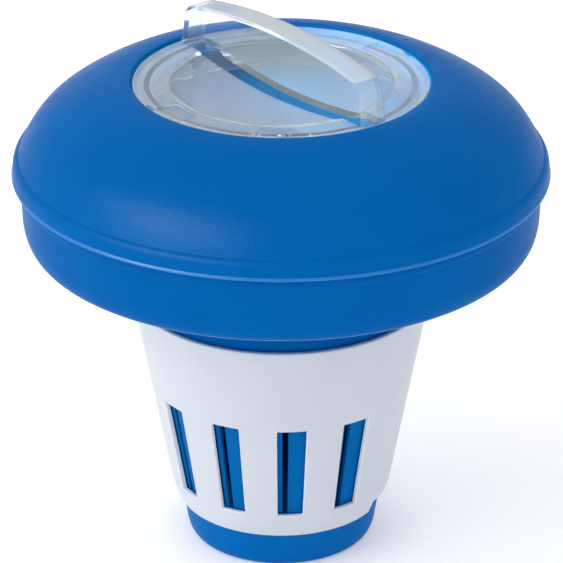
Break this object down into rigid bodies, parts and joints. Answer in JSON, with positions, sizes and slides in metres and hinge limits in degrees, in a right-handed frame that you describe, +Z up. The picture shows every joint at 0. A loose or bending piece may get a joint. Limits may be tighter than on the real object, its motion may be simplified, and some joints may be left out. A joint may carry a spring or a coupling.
{
  "type": "floating chlorine dispenser",
  "caption": "Floating chlorine dispenser: domed float ring, clear twist-off cap with a bridge grip, and a tapered basket inside a turning slotted sleeve.",
  "frame": {"origin": "centre of the bottom cup's flat base, on the common axis of every moulding", "axes": "+Z up along the axis, from the cup through the float to the cap's grip; -Y is the side that faces the viewer, +X to the viewer's right"},
  "size_m": [0.127, 0.127, 0.1305],
  "materials": {
    "blue_shell": "satin, fine spark-eroded grain",
    "blue_inner": "satin",
    "white_sleeve": "satin, fine grain",
    "clear_cap": "clear moulded plastic, faintly milky on the disc",
    "seal": "matt, translucent white"
  },
  "bodies": {
    "float": {"float_upper_shell": "blue_shell", "float_lower_shell": "blue_shell", "chamber_tube": "blue_inner", "tablet_basket": "blue_inner", "bottom_cup": "blue_inner"},
    "cap_seal": {"cap_gasket": "seal"},
    "cap": {"cap": "clear_cap"},
    "sleeve": {"dosing_sleeve": "white_sleeve"}
  },
  "joints": [
    {"name": "cap_lift", "type": "slide", "parent": "float", "child": "cap_seal", "axis": [0, 0, 1], "range_m": [0, 0.06]},
    {"name": "cap_turn", "type": "hinge", "parent": "cap_seal", "child": "cap", "pos_m": [0, 0, 0.1172], "axis": [0, 0, 1], "range_deg": [-40, 0]},
    {"name": "sleeve_turn", "type": "hinge", "parent": "float", "child": "sleeve", "pos_m": [0, 0, 0.0364], "axis": [0, 0, 1], "range_deg": [-8, 6]}
  ]
}
